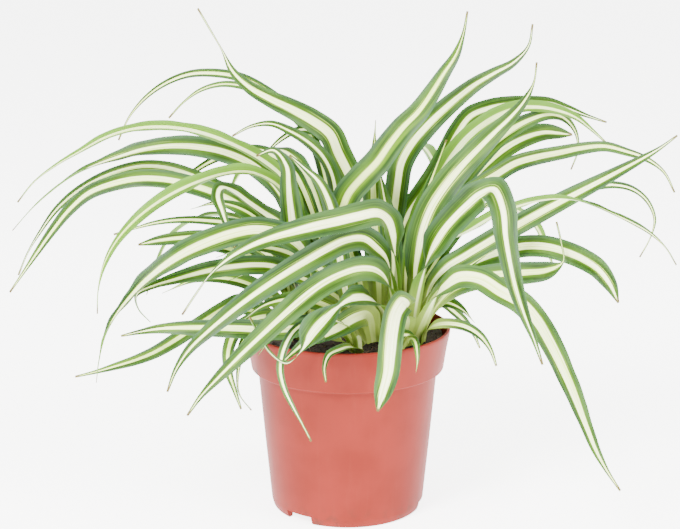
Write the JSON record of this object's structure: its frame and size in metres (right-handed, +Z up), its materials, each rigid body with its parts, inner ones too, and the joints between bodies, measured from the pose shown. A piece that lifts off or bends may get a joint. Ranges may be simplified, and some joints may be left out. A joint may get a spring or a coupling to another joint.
{
  "type": "potted spider plant",
  "caption": "Spider plant with long arching cream-striped green leaves, rooted in peat soil in a round tapered plastic nursery pot.",
  "frame": {"origin": "on the pot's axis, on the surface the pot stands on; the leaves reach equally far to the left and right and to the front and back of it", "axes": "+Z up, -Y the front of the plant, +X to the right seen from the front"},
  "size_m": [0.3991, 0.2376, 0.2903],
  "materials": {
    "pot": "injection-moulded polypropylene, terracotta colour, satin",
    "soil": null,
    "stem": null,
    "leaf": null
  },
  "bodies": {
    "root": {"back_leaf_1": "leaf", "back_leaf_2": "leaf", "back_leaf_3": "leaf", "back_leaf_4": "leaf", "back_leaf_5": "leaf", "front_leaf_1": "leaf", "front_leaf_2": "leaf", "front_left_leaf_1": "leaf", "front_left_leaf_10": "leaf", "front_left_leaf_2": "leaf", "front_left_leaf_3": "leaf", "front_left_leaf_4": "leaf", "front_left_leaf_5": "leaf", "front_left_leaf_6": "leaf", "front_left_leaf_7": "leaf", "front_left_leaf_8": "leaf", "front_left_leaf_9": "leaf", "inner_leaf": "leaf", "left_leaf_1": "leaf", "left_leaf_12": "leaf", "left_leaf_13": "leaf", "left_leaf_14": "leaf", "left_leaf_15": "leaf", "left_leaf_16": "leaf", "left_leaf_17": "leaf", "left_leaf_2": "leaf", "left_leaf_3": "leaf", "left_leaf_4": "leaf", "left_leaf_5": "leaf", "left_leaf_6": "leaf", "left_leaf_7": "leaf", "left_leaf_8": "leaf", "left_leaf_9": "leaf", "pot": "pot", "potting_soil": "soil", "right_leaf_1": "leaf", "right_leaf_10": "leaf", "right_leaf_11": "leaf", "right_leaf_12": "leaf", "right_leaf_13": "leaf", "right_leaf_14": "leaf", "right_leaf_2": "leaf", "right_leaf_3": "leaf", "right_leaf_4": "leaf", "right_leaf_5": "leaf", "right_leaf_6": "leaf", "right_leaf_7": "leaf", "right_leaf_8": "leaf", "right_leaf_9": "leaf", "small_leaf_1": "leaf", "small_leaf_2": "leaf", "stem_back_left": "stem", "stem_back_right": "stem", "stem_front": "stem", "stem_left": "stem", "stem_right": "stem", "tall_leaf_1": "leaf", "tall_leaf_2": "leaf", "tall_leaf_3": "leaf", "tall_leaf_4": "leaf"}
  },
  "joints": []
}
